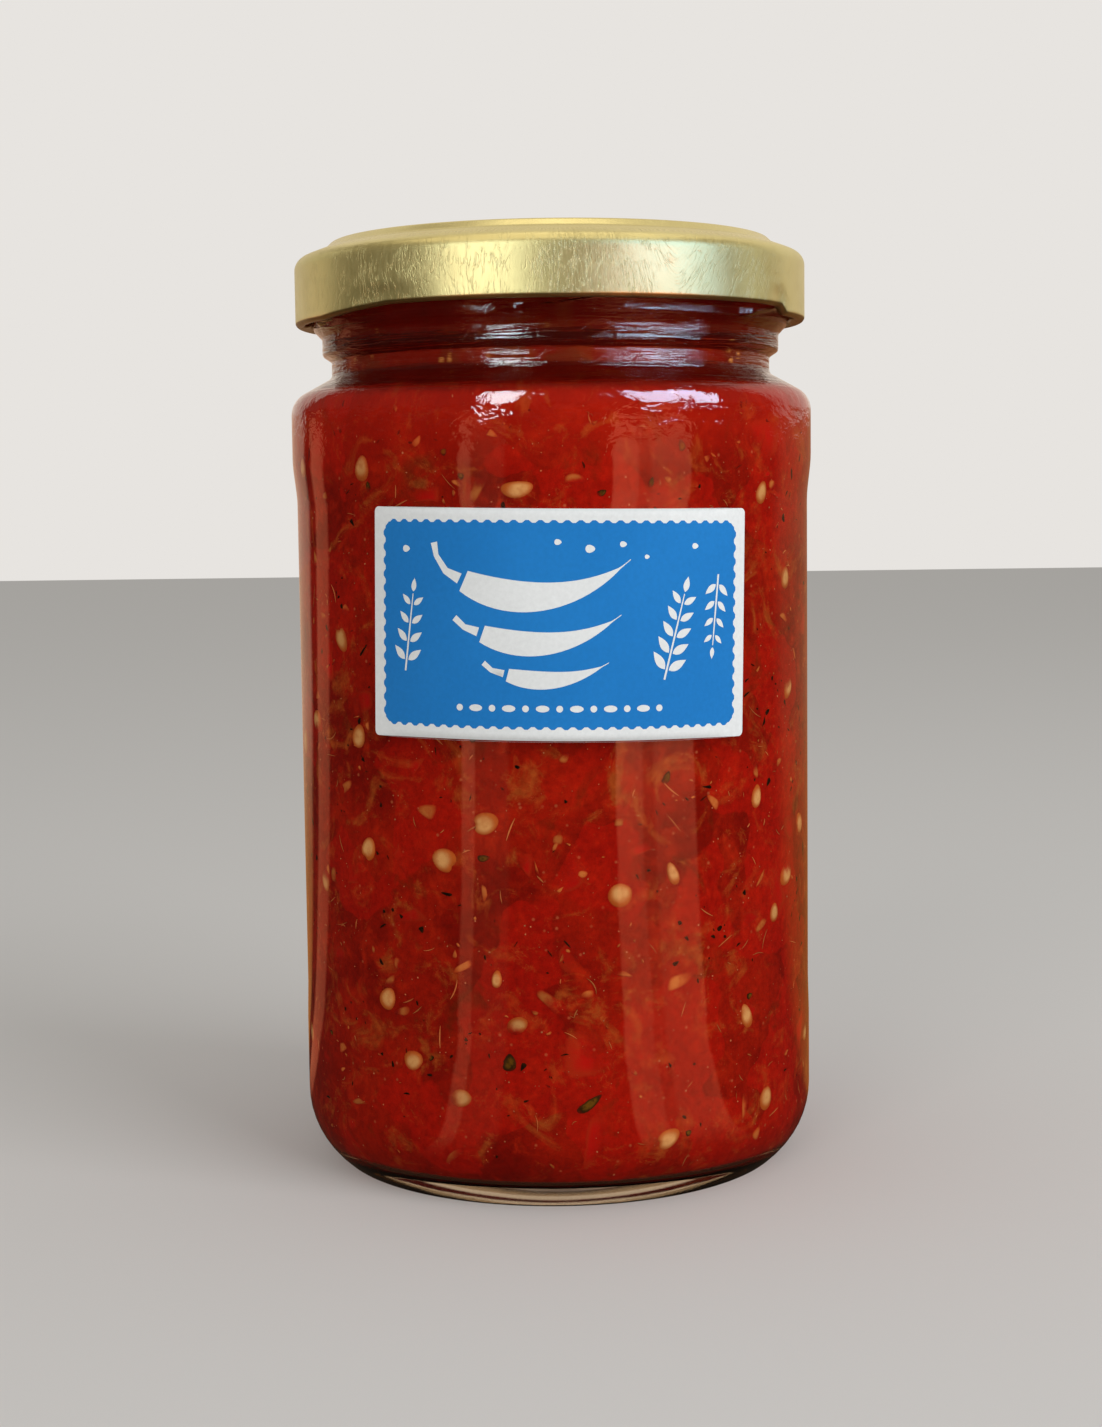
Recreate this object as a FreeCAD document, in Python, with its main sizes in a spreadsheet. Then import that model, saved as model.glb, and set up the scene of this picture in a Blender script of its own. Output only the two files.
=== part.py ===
import FreeCAD, Part
import math
import os

import Sketcher

# A straight-sided 720 ml preserving jar with an 82 mm twist-off finish, filled with adjika, shut by its
# lug lid and labelled on the front. Millimetres, Z up. The origin is the centre of the ring the jar
# stands on, the front with the label faces -Y. Angles are degrees round Z, from the front towards +X.

SIZES = (
    # glass, outside: the height to the rim, the widest band, and how far panel and foot lie inside it
    ("jar_height", 151.9),
    ("band_radius", 43.5),
    ("panel_recess", 0.65),
    ("foot_recess", 0.5),
    # glass, from the rim down to the shoulder
    ("finish_radius", 39.6),
    ("finish_wall", 5.0),
    ("finish_height", 12.5),
    ("rim_round", 2.5),
    ("rim_inner_round", 1.4),
    ("flare_height", 1.5),
    ("bead_recess", 1.45),
    ("bead_height", 2.7),
    ("bead_round", 0.9),
    ("undercut_height", 1.0),
    ("undercut_round", 0.6),
    ("groove_recess", 2.95),
    ("groove_height", 2.75),
    ("shoulder_drop", 3.75),
    ("shoulder_round", 4.0),
    ("neck_round", 1.2),
    # glass, down the wall
    ("band_height", 10.6),
    ("band_taper", 5.6),
    ("taper_round", 20.0),
    ("foot_band_top", 24.0),
    ("foot_taper", 6.0),
    # glass, heel and standing ring
    ("heel_corner", 4.8),
    ("heel_round", 14.4),
    ("heel_share", 0.9),
    ("ring_inset", 5.85),
    ("ring_width", 3.6),
    ("ring_round", 1.6),
    ("push_up", 2.6),
    ("push_up_step", 1.4),
    ("push_up_slope", 2.75),
    # glass, inside
    ("wall", 2.65),
    ("shoulder_wall", 1.7),
    ("base_wall", 3.1),
    ("floor_corner", 4.1),
    ("floor_round", 8.0),
    ("inner_shoulder_round", 4.0),
    ("inner_neck_round", 3.0),
    # glass, the starts that the lid's lugs run under
    ("starts", 6),
    ("start_angle", -14.0),
    ("start_sweep", 50.0),
    ("start_pitch", 39.0),
    ("start_proud", 1.05),
    ("start_crest", 0.9),
    ("start_base", 2.1),
    ("start_round", 0.35),
    ("start_root", 0.6),
    ("lug_clearance", 0.1),
    # adjika
    ("head_space", 8.0),
    # lid
    ("sheet", 0.4),
    ("seal", 1.3),
    ("seal_lap", 0.6),
    ("seal_slope", 0.4),
    ("skirt_gap", 0.8),
    ("crown_drop", 3.0),
    ("crown_round", 2.2),
    ("channel_lap", 1.6),
    ("channel_recess", 3.2),
    ("channel_step", 1.15),
    ("channel_slope", 1.2),
    ("rim_recess", 1.6),
    ("channel_round", 0.9),
    ("panel_sink", 0.9),
    ("panel_slope", 1.4),
    ("button_radius", 14.0),
    ("button_slope", 2.4),
    ("button_rise", 0.35),
    ("button_round", 4.0),
    ("curl", 1.7),
    ("curl_clearance", 0.15),
    ("curl_round", 0.8),
    ("curl_gap", 0.3),
    # lid lugs
    ("lug_angle", 9.0),
    ("lug_sweep", 15.0),
    ("lug_reach", 0.85),
    ("lug_height", 1.35),
    ("lug_lift", 0.3),
    ("lug_root", 0.3),
    ("lug_round", 0.25),
    # label
    ("label_width", 57.5),
    ("label_height", 35.6),
    ("label_margin", 1.7),
    ("label_offset", 0.9),
    ("label_tilt", 1.0),
    ("label_round", 0.8),
    ("label_thickness", 0.2),
    ("label_stock", 5.0),
)


def size(name):
    return "Sizes." + name


def total(*parts):
    """Expression text for a sum of named sizes and texts; a leading minus subtracts."""
    text = ""
    for part in parts:
        sign = " - " if part.startswith("-") else " + "
        name = part.lstrip("-")
        text += sign + (name if name[0] in "(0123456789" else size(name))
    return "(" + text.removeprefix(" + ").strip() + ")"


# Heights up the outside, each tied to the one above it.
FLARE_TOP = total("jar_height", "-finish_height")
BEAD_TOP = total(FLARE_TOP, "-flare_height")
BEAD_FOOT = total(BEAD_TOP, "-bead_height")
GROOVE_TOP = total(BEAD_FOOT, "-undercut_height")
GROOVE_FOOT = total(GROOVE_TOP, "-groove_height")
SHOULDER = total(GROOVE_FOOT, "-shoulder_drop")
BAND_FOOT = total(SHOULDER, "-band_height")
PANEL_TOP = total(BAND_FOOT, "-band_taper")
PANEL_FOOT = total("foot_band_top", "foot_taper")
# Radii that follow from the band.
PANEL_RADIUS = total("band_radius", "-panel_recess")
INNER_RADIUS = total(PANEL_RADIUS, "-wall")
FOOT_RADIUS = total("band_radius", "-foot_recess")
RING_RADIUS = total(FOOT_RADIUS, "-ring_inset")
RING_INNER = total(RING_RADIUS, "-ring_width")
# Radii that follow from the finish.
BORE_RADIUS = total("finish_radius", "-finish_wall")
BEAD_RADIUS = total("finish_radius", "-bead_recess")
GROOVE_RADIUS = total("finish_radius", "-groove_recess")
# The heel's round takes no more of the slope down to the ring than its share.
HEEL_SLOPE = "sqrt(Sizes.ring_inset ^ 2 + Sizes.heel_corner ^ 2)"
HEEL_LIMIT = "(Sizes.heel_share * %s * sqrt((%s + Sizes.heel_corner) / (%s - Sizes.heel_corner)))" % (
    HEEL_SLOPE, HEEL_SLOPE, HEEL_SLOPE,
)
HEEL_ROUND = "min(Sizes.heel_round; %s)" % HEEL_LIMIT
# The lid seats on the rim with its seal, and its curl passes the starts of the finish.
LID_RADIUS = total("finish_radius", "start_proud", "curl_clearance", "curl")
CURL_INNER = total(LID_RADIUS, "-curl")
CHANNEL_INNER = total(BORE_RADIUS, "-channel_lap")
CHANNEL_OUTER = total("finish_radius", "-channel_recess")
LID_TOP = total("jar_height", "seal", "sheet")
LID_FOOT = total(FLARE_TOP, "skirt_gap")
LUG_TOP = total(LID_FOOT, "lug_height")
# The label hangs from the top of the panel.
LABEL_MIDDLE = "(%s - Sizes.label_height / 2)" % total(PANEL_TOP, "-label_margin")


def make_sizes(doc):
    sheet = doc.addObject("Spreadsheet::Sheet", "Sizes")
    for row, (name, value) in enumerate(SIZES, start=1):
        sheet.set("A%d" % row, name)
        sheet.set("B%d" % row, str(value))
        sheet.setAlias("B%d" % row, name)
    doc.recompute()
    return sheet


def value(item, text):
    """The number that an expression on the sizes stands for, worked out by any object of the document."""
    result = item.evalExpression(text)
    return float(getattr(result, "Value", result))


def origin_feature(body, role):
    return next(item for item in body.Origin.OriginFeatures if item.Role == role)


def make_body(doc, name):
    body = doc.addObject("PartDesign::Body", name)
    body.Label = name
    body.Placement = FreeCAD.Placement()
    return body


def make_sketch(body, name, turn=None):
    """A sketch on the XZ plane, turned round Z by the angle that the text turn gives."""
    sketch = body.newObject("Sketcher::SketchObject", name)
    sketch.AttachmentSupport = [(origin_feature(body, "XZ_Plane"), "")]
    sketch.MapMode = "FlatFace"
    if turn:
        sketch.AttachmentOffset = FreeCAD.Placement(
            FreeCAD.Vector(), FreeCAD.Rotation(FreeCAD.Vector(0, 1, 0), 1)
        )
        sketch.setExpression("AttachmentOffset.Rotation.Angle", turn)
    return sketch


def corner_arc(before, corner, after, radius):
    """The arc that rounds a corner, with the ends that touch the line before and the line after."""
    back = (before - corner).normalize()
    ahead = (after - corner).normalize()
    half = back.getAngle(ahead) / 2
    reach = radius / math.tan(half)
    centre = corner + (back + ahead).normalize() * (radius / math.sin(half))
    touch_before = corner + back * reach
    touch_after = corner + ahead * reach
    turns_left = (corner - before).cross(after - corner).z > 0
    start, end = (touch_before, touch_after) if turns_left else (touch_after, touch_before)
    angles = [math.atan2(p.y - centre.y, p.x - centre.x) for p in (start, end)]
    circle = Part.Circle(centre, FreeCAD.Vector(0, 0, 1), radius)
    arc = Part.ArcOfCircle(circle, *angles)
    return arc, turns_left, touch_before, touch_after


def hold_point(sketch, geometry, end, texts):
    """Ties a point's two coordinates to their texts; one that is 0 lies on the axis."""
    for kind, axis, text in (("DistanceX", -2, texts[0]), ("DistanceY", -1, texts[1])):
        if text == "0":
            sketch.addConstraint(Sketcher.Constraint("PointOnObject", geometry, end, axis))
            continue
        number = value(sketch, text)
        index = sketch.addConstraint(Sketcher.Constraint(kind, -1, 1, geometry, end, number))
        sketch.setExpression("Constraints[%d]" % index, text)


def draw_outline(sketch, corners):
    """Draws a closed outline. A corner is (across, up) or (across, up, radius), all texts."""
    count = len(corners)
    points = [FreeCAD.Vector(value(sketch, c[0]), value(sketch, c[1]), 0) for c in corners]
    starts = list(points)
    ends = list(points)
    arcs = {}
    for i, corner in enumerate(corners):
        if len(corner) == 3:
            radius = value(sketch, corner[2])
            neighbours = points[i - 1], points[i], points[(i + 1) % count]
            arc, left, ends[i], starts[i] = corner_arc(*neighbours, radius)
            arcs[i] = arc, left
    lines = []
    for i in range(count):
        lines.append(sketch.addGeometry(Part.LineSegment(starts[i], ends[(i + 1) % count])))
    for i, corner in enumerate(corners):
        before, after = lines[i - 1], lines[i]
        if i not in arcs:
            sketch.addConstraint(Sketcher.Constraint("Coincident", before, 2, after, 1))
            hold_point(sketch, after, 1, corner)
            continue
        arc, left = arcs[i]
        bend = sketch.addGeometry(arc)
        first, last = (1, 2) if left else (2, 1)
        sketch.addConstraint(Sketcher.Constraint("Tangent", before, 2, bend, first))
        sketch.addConstraint(Sketcher.Constraint("Tangent", bend, last, after, 1))
        index = sketch.addConstraint(Sketcher.Constraint("Radius", bend, arc.Radius))
        sketch.setExpression("Constraints[%d]" % index, corner[2])
        mark = sketch.addGeometry(Part.Point(points[i]), True)
        sketch.addConstraint(Sketcher.Constraint("PointOnObject", mark, 1, before))
        sketch.addConstraint(Sketcher.Constraint("PointOnObject", mark, 1, after))
        hold_point(sketch, mark, 1, corner)


def make_revolution(body, name, corners):
    sketch = make_sketch(body, name + "_outline")
    draw_outline(sketch, corners)
    revolution = body.newObject("PartDesign::Revolution", name)
    revolution.Profile = sketch
    revolution.ReferenceAxis = (sketch, ["V_Axis"])
    revolution.Angle = 360
    return revolution


def repeat_round(body, name, feature, count_text):
    pattern = body.newObject("PartDesign::PolarPattern", name)
    pattern.Originals = [feature]
    pattern.Axis = (origin_feature(body, "Z_Axis"), [""])
    pattern.Angle = 360
    pattern.setExpression("Occurrences", count_text)
    body.Tip = pattern
    return pattern


def cavity_corners():
    """The inside of the glass, from its middle up to the start of the bore."""
    floor_middle = total("push_up", "base_wall")
    inner_shoulder = total(SHOULDER, "-shoulder_wall")
    inner_neck = total(GROOVE_FOOT, "-shoulder_wall")
    return [
        ("0", floor_middle),
        (INNER_RADIUS, size("floor_corner"), size("floor_round")),
        (INNER_RADIUS, inner_shoulder, size("inner_shoulder_round")),
        (BORE_RADIUS, inner_neck, size("inner_neck_round")),
    ]


def make_glass(doc):
    """A hollow glass jar: standing ring, heel, panel, band, shoulder, groove, bead, finish and bore."""
    body = make_body(doc, "jar_glass")
    finish = size("finish_radius")
    neck_round = size("neck_round")
    outside = [
        (BORE_RADIUS, size("jar_height"), size("rim_inner_round")),
        (finish, size("jar_height"), size("rim_round")),
        (finish, FLARE_TOP, neck_round),
        (BEAD_RADIUS, BEAD_TOP, size("bead_round")),
        (BEAD_RADIUS, BEAD_FOOT, size("undercut_round")),
        (GROOVE_RADIUS, GROOVE_TOP, size("undercut_round")),
        (GROOVE_RADIUS, GROOVE_FOOT, neck_round),
        (size("band_radius"), SHOULDER, size("shoulder_round")),
        (size("band_radius"), BAND_FOOT, size("taper_round")),
        (PANEL_RADIUS, PANEL_TOP, size("taper_round")),
        (PANEL_RADIUS, PANEL_FOOT, size("taper_round")),
        (FOOT_RADIUS, size("foot_band_top"), size("taper_round")),
        (FOOT_RADIUS, size("heel_corner"), HEEL_ROUND),
        (RING_RADIUS, "0", size("ring_round")),
        (RING_INNER, "0", size("ring_round")),
        (total(RING_INNER, "-push_up_slope"), size("push_up_step"), size("ring_round")),
        ("0", size("push_up")),
    ]
    make_revolution(body, "vessel", cavity_corners() + outside)
    add_starts(body)
    return body


def add_starts(body):
    """Raised starts that climb round the finish; each runs down onto the top of one lug."""
    turn = total("start_angle", "-90")
    climb = "(Sizes.lug_angle - Sizes.lug_sweep / 2 - Sizes.start_angle) / 360 * Sizes.start_pitch"
    foot = "(%s + Sizes.lug_clearance - %s)" % (LUG_TOP, climb)
    root = total("finish_radius", "-start_root")
    crest = total("finish_radius", "start_proud")
    sketch = make_sketch(body, "start_outline", turn)
    draw_outline(
        sketch,
        [
            (root, foot),
            (crest, foot, size("start_round")),
            (crest, total(foot, "start_crest"), size("start_round")),
            (root, total(foot, "start_base")),
        ],
    )
    helix = body.newObject("PartDesign::AdditiveHelix", "start")
    helix.Profile = sketch
    helix.ReferenceAxis = (sketch, ["V_Axis"])
    helix.Mode = "pitch-height-angle"
    helix.setExpression("Pitch", size("start_pitch"))
    helix.setExpression("Height", "Sizes.start_pitch * Sizes.start_sweep / 360")
    helix.Angle = 0
    repeat_round(body, "starts", helix, size("starts"))


def make_adjika(doc):
    """The filling: it takes the inside of the glass, up into the bore under the lid."""
    body = make_body(doc, "adjika")
    level = total("jar_height", "-head_space")
    top = [(BORE_RADIUS, level), ("0", level)]
    make_revolution(body, "filling", cavity_corners() + top)
    return body


def make_lid(doc):
    """A pressed sheet lid: sunk panel with its button, channel with the seal, skirt, curl and lugs."""
    body = make_body(doc, "lid")
    inside = total(LID_RADIUS, "-sheet")
    panel = total(LID_TOP, "-panel_sink")
    button = total(panel, "button_rise")
    button_inner = total("button_radius", "-button_slope")
    button_round = size("button_round")
    channel_round = size("channel_round")
    channel_foot = total(CHANNEL_OUTER, "channel_slope")
    channel_low = total(LID_TOP, "-channel_step")
    crown = total(LID_TOP, "-crown_drop")
    seal_inner = total(CHANNEL_INNER, "-seal_lap")
    curl_top = total(LID_FOOT, "curl")
    curl_round = size("curl_round")
    curl_fold = total("curl_round", "-sheet")
    tip = total(inside, "-curl_gap")
    upper_side = [
        ("0", button),
        (button_inner, button, button_round),
        (size("button_radius"), panel, button_round),
        (total(CHANNEL_INNER, "-panel_slope"), panel, channel_round),
        (CHANNEL_INNER, LID_TOP, channel_round),
        (CHANNEL_OUTER, LID_TOP, channel_round),
        (channel_foot, channel_low, channel_round),
        (LID_RADIUS, crown, size("crown_round")),
    ]
    curl = [
        (LID_RADIUS, LID_FOOT, curl_round),
        (CURL_INNER, LID_FOOT, curl_round),
        (CURL_INNER, curl_top, curl_round),
        (tip, curl_top),
        (tip, total(curl_top, "-sheet")),
        (total(CURL_INNER, "sheet"), total(curl_top, "-sheet"), curl_fold),
        (total(CURL_INNER, "sheet"), total(LID_FOOT, "sheet"), curl_fold),
        (inside, total(LID_FOOT, "sheet"), curl_fold),
    ]
    lower_side = [
        (inside, total(crown, "-sheet"), total("crown_round", "-sheet")),
        (total("finish_radius", "-rim_recess"), size("jar_height")),
        (seal_inner, size("jar_height")),
        (total(seal_inner, "-seal_slope"), total(panel, "-sheet")),
        (size("button_radius"), total(panel, "-sheet"), button_round),
        (button_inner, total(button, "-sheet"), button_round),
        ("0", total(button, "-sheet")),
    ]
    make_revolution(body, "pressing", upper_side + curl + lower_side)
    add_lugs(body)
    return body


def add_lugs(body):
    """Lugs pressed inward from the curl, one under each start of the finish."""
    turn = total("lug_angle", "-90")
    sketch = make_sketch(body, "lug_outline", turn)
    root = total(CURL_INNER, "lug_root")
    tip = total(CURL_INNER, "-lug_reach")
    draw_outline(
        sketch,
        [
            (root, total(LID_FOOT, "lug_lift")),
            (root, LUG_TOP),
            (tip, LUG_TOP, size("lug_round")),
            (tip, total(LID_FOOT, "lug_lift"), size("lug_round")),
        ],
    )
    lug = body.newObject("PartDesign::Revolution", "lug")
    lug.Profile = sketch
    lug.ReferenceAxis = (sketch, ["V_Axis"])
    lug.Midplane = True
    lug.setExpression("Angle", size("lug_sweep"))
    repeat_round(body, "lugs", lug, size("starts"))


def make_label(doc):
    """A paper label that lies round the front of the panel, a little askew."""
    body = make_body(doc, "label")
    tilt = "(Sizes.label_tilt * 1 deg)"
    half_width = "Sizes.label_width / 2"
    half_height = "Sizes.label_height / 2"
    corners = []
    for side, up in ((-1, -1), (1, -1), (1, 1), (-1, 1)):
        across = "(Sizes.label_offset + %d * %s * cos(%s) + %d * %s * sin(%s))" % (
            side, half_width, tilt, up, half_height, tilt,
        )
        height = "(%s + %d * %s * cos(%s) - %d * %s * sin(%s))" % (
            LABEL_MIDDLE, up, half_height, tilt, side, half_width, tilt,
        )
        corners.append((across, height, size("label_round")))
    sketch = make_sketch(body, "label_outline")
    draw_outline(sketch, corners)
    blank = body.newObject("PartDesign::Pad", "blank")
    blank.Profile = sketch
    reach = total("band_radius", "label_stock")
    blank.setExpression("Length", reach)
    trim_round(body, "back", ("0", PANEL_RADIUS))
    trim_round(body, "front", (total(PANEL_RADIUS, "label_thickness"), total(reach, "label_width")))
    return body


def trim_round(body, name, radii):
    """Cuts away the ring between two radii over the label's height."""
    low = total(LABEL_MIDDLE, "-label_height")
    high = total(LABEL_MIDDLE, "label_height")
    sketch = make_sketch(body, name + "_outline")
    inner, outer = radii
    draw_outline(sketch, [(inner, low), (outer, low), (outer, high), (inner, high)])
    groove = body.newObject("PartDesign::Groove", name)
    groove.Profile = sketch
    groove.ReferenceAxis = (sketch, ["V_Axis"])
    groove.Angle = 360


def check(doc, bodies):
    for item in doc.Objects:
        if "Invalid" in item.State or "Error" in item.State:
            raise RuntimeError("%s failed: %s" % (item.Name, item.State))
    for body in bodies:
        shape = body.Shape
        if shape.isNull() or not shape.isValid() or len(shape.Solids) != 1:
            raise RuntimeError("%s is not one valid solid" % body.Label)


def main():
    doc = FreeCAD.newDocument("adjika_jar")
    make_sizes(doc)
    bodies = [make_glass(doc), make_adjika(doc), make_lid(doc), make_label(doc)]
    doc.recompute()
    check(doc, bodies)
    os.makedirs("parts", exist_ok=True)
    for body in bodies:
        box = body.Shape.optimalBoundingBox(False)
        print(
            "%-10s %9.1f mm3  X %.2f..%.2f  Y %.2f..%.2f  Z %.2f..%.2f"
            % (body.Label, body.Shape.Volume, box.XMin, box.XMax, box.YMin, box.YMax, box.ZMin, box.ZMax)
        )
        body.Shape.exportStep("parts/%s.step" % body.Label)


main()
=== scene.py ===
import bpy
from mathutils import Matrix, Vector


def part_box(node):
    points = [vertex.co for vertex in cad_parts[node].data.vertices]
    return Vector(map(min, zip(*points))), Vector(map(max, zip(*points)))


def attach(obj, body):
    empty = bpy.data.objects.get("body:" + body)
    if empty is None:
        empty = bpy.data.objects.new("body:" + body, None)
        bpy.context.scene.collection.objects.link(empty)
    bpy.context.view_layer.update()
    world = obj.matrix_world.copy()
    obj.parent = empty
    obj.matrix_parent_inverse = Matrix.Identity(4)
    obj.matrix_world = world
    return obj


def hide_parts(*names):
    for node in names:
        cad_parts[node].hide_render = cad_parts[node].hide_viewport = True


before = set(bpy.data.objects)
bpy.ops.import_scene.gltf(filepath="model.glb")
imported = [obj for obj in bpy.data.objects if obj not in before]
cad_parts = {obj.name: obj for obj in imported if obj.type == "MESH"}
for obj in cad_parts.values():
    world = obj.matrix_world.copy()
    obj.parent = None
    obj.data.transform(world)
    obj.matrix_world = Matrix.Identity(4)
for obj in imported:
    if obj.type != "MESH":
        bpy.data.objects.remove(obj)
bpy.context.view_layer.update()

import math
import random

import bpy
import numpy as np
from mathutils import Quaternion, Vector, geometry, noise

# The looks of the adjika jar. Outlines are in millimetres, as in the CAD source, and meshes in metres.
# Angles round the jar are degrees from the front, -Y, towards +X.

MM = 0.001
RNG = random.Random(720)

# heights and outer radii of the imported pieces
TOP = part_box("jar_glass")[1][2] / MM  # the rim
BAND = round(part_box("jar_glass")[1][0] / MM, 1)  # the widest radius
LID_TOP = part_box("lid")[1][2] / MM
LID_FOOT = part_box("lid")[0][2] / MM
LID_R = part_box("lid")[1][0] / MM
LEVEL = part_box("adjika")[1][2] / MM

# the outside of the glass
PANEL = BAND - 0.65
PANEL_TOP = TOP - 40.4
FOOT_BAND = BAND - 0.5
FINISH = 39.6
BEAD = FINISH - 1.45
GROOVE = FINISH - 2.95

# the inside of the glass, which the filling follows
BORE = 34.6
INNER = PANEL - 2.65
INSIDE_FLOOR = 5.7
INSIDE_CORNER = 4.1
INSIDE_SHOULDER = TOP - 25.9
INSIDE_NECK = TOP - 22.15
SINK = 0.15  # how far the filling reaches into the glass

# how many of each kind lie in the pulp
SEEDS, SKINS, FLECKS, GRAINS, THREADS, SPECKS, HERBS = 74, 90, 420, 2000, 330, 700, 30

# the camera: where it is, in metres, its lens in mm, and its angles in degrees
EYE = (-0.00065, -0.389368, 0.111139)
LENS = 57.80
LOOKS_DOWN = 5.358
ROLL = -0.716


# ---------------------------------------------------------------- outlines and meshes


def unit(v):
    return v / np.linalg.norm(v)


def rounded(corners, turn=8.0):
    """An outline through corners (across, up, round), with each round drawn as an arc."""
    points = []
    for i, corner in enumerate(corners):
        here = np.array(corner[:2], float)
        if len(corner) == 2:
            points.append(here)
            continue
        before = np.array(corners[i - 1][:2], float)
        after = np.array(corners[(i + 1) % len(corners)][:2], float)
        back, ahead = unit(before - here), unit(after - here)
        half = math.acos(float(np.clip(back @ ahead, -1, 1))) / 2
        centre = here + unit(back + ahead) * corner[2] / math.sin(half)
        reach = corner[2] / math.tan(half)
        first = here + back * reach - centre
        last = here + ahead * reach - centre
        start = math.atan2(first[1], first[0])
        sweep = math.remainder(math.atan2(last[1], last[0]) - start, math.tau)
        count = max(2, math.ceil(abs(math.degrees(sweep)) / turn))
        for k in range(count + 1):
            angle = start + sweep * k / count
            points.append(centre + corner[2] * np.array([math.cos(angle), math.sin(angle)]))
    return np.array(points)


def spaced(points, step):
    """The same outline with no run longer than step."""
    made = [points[0]]
    for a, b in zip(points[:-1], points[1:]):
        count = max(1, math.ceil(np.linalg.norm(b - a) / step))
        made += [a + (b - a) * k / count for k in range(1, count + 1)]
    return np.array(made)


def graded(points, fine, near):
    """The outline in fine steps where near(low, high) holds, and in steps of 4 mm elsewhere."""
    pairs = zip(points[:-1], points[1:])
    made = [spaced(np.array([a, b]), fine if near(a, b) else 4.0)[:-1] for a, b in pairs]
    return np.vstack(made + [points[-1:]])


def mesh_object(name, verts, faces, smooth=True):
    mesh = bpy.data.meshes.new(name)
    mesh.from_pydata(np.asarray(verts, float).tolist(), [], faces)
    mesh.validate()
    if smooth:
        mesh.shade_smooth()
    obj = bpy.data.objects.new(name, mesh)
    bpy.context.scene.collection.objects.link(obj)
    return obj


def revolve(name, outline, segments, push=None):
    """Turns an outline round Z. push(angles, radius, height) moves points outward, in mm."""
    angles = np.arange(segments) * math.tau / segments
    verts, rows = [], []
    for radius, height in outline:
        if radius < 1e-6:
            rows.append([len(verts)])
            verts.append((0.0, 0.0, height * MM))
            continue
        away, lift = radius + np.zeros(segments), height + np.zeros(segments)
        if push is not None:
            out, up = push(np.degrees(angles), radius, height)
            away, lift = away + out, lift + up
        rows.append(list(range(len(verts), len(verts) + segments)))
        verts += zip(away * np.sin(angles) * MM, -away * np.cos(angles) * MM, lift * MM)
    faces = []
    for low, high in zip(rows[:-1], rows[1:]):
        for k in range(segments):
            n = (k + 1) % segments
            if len(low) == 1:
                faces.append((low[0], high[n], high[k]))
            elif len(high) == 1:
                faces.append((low[k], low[n], high[0]))
            else:
                faces.append((low[k], low[n], high[n], high[k]))
    return mesh_object(name, verts, faces)


def finish_piece(obj, material, slot, *nodes):
    obj.data.materials.clear()
    obj.data.materials.append(material)
    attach(obj, "root")
    if nodes:
        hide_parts(*nodes)
    return obj


def ease(value, low, high):
    t = np.clip((value - low) / (high - low), 0, 1)
    return t * t * (3 - 2 * t)


# ---------------------------------------------------------------- shader helpers


TREE = None  # the node tree that is being filled


def begin(owner):
    """Empties the nodes of a material or world. All nodes made after this go there."""
    global TREE
    owner.use_nodes = True
    TREE = owner.node_tree
    TREE.nodes.clear()
    return owner


def new_material(name):
    return begin(bpy.data.materials.new(name))


def node(kind, inputs=None, **settings):
    made = TREE.nodes.new("ShaderNode" + kind)
    for key, value in settings.items():
        setattr(made, key, value)
    for key, value in (inputs or {}).items():
        if isinstance(value, bpy.types.NodeSocket):
            TREE.links.new(value, made.inputs[key])
        else:
            made.inputs[key].default_value = value
    return made


def calc(operation, *values):
    return node("Math", dict(enumerate(values)), operation=operation).outputs[0]


def times(*values):
    return calc("MULTIPLY", *values)


def plus(*values):
    return calc("ADD", *values)


def blend_colour(factor, first, second, way="MIX"):
    def full(c):
        return (*c, 1.0) if isinstance(c, tuple) else c

    ends = {0: factor, 6: full(first), 7: full(second)}
    return node("Mix", ends, data_type="RGBA", blend_type=way).outputs[2]


def spread(value, source, target, way="LINEAR"):
    """The value, carried from one range to another."""
    ends = {"From Min": source[0], "From Max": source[1], "To Min": target[0], "To Max": target[1]}
    return node("MapRange", {"Value": value, **ends}, interpolation_type=way).outputs[0]


def step_up(value, low, high):
    return spread(value, (low, high), (0.0, 1.0), "SMOOTHSTEP")


def step_down(value, low, high):
    return calc("SUBTRACT", 1.0, step_up(value, low, high))


def fuzz(place, scale, detail=2.0, rough=0.5, warp=0.0):
    """Soft noise from 0 to 1; scale counts its lumps in a metre."""
    wave = {"Vector": place, "Scale": scale, "Detail": detail, "Roughness": rough, "Distortion": warp}
    return node("TexNoise", wave).outputs[0]


def shifted(place, x, y, z):
    return node("VectorMath", {0: place, 1: (x, y, z)}, operation="ADD").outputs[0]


def stretched(place, x, y, z):
    return node("VectorMath", {0: place, 1: (x, y, z)}, operation="MULTIPLY").outputs[0]


def scaled(vector, factor):
    return node("VectorMath", {0: vector, "Scale": factor}, operation="SCALE").outputs[0]


def bumps(depth, height):
    """A normal for relief of a depth in metres."""
    return node("Bump", {"Strength": 1.0, "Distance": depth, "Height": height}).outputs[0]


def object_place():
    return node("TexCoord").outputs["Object"]


def round_place(place, radius):
    """Distance round the jar at a radius, distance from the axis, and height, as a vector."""
    split = node("SeparateXYZ", {0: place})
    back = times(split.outputs[1], -1.0)
    angle = calc("ARCTAN2", split.outputs[0], back)
    squares = [calc("POWER", value, 2.0) for value in (split.outputs[0], back)]
    away = calc("SQRT", plus(*squares))
    along = times(angle, radius)
    joined = node("CombineXYZ", {0: along, 1: away, 2: split.outputs[2]}).outputs[0]
    return joined, angle, away, split.outputs[2]


def output(surface):
    node("OutputMaterial", {"Surface": surface})


def mixed(factor, first, second):
    return node("MixShader", {0: factor, 1: first, 2: second}).outputs[0]


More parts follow.
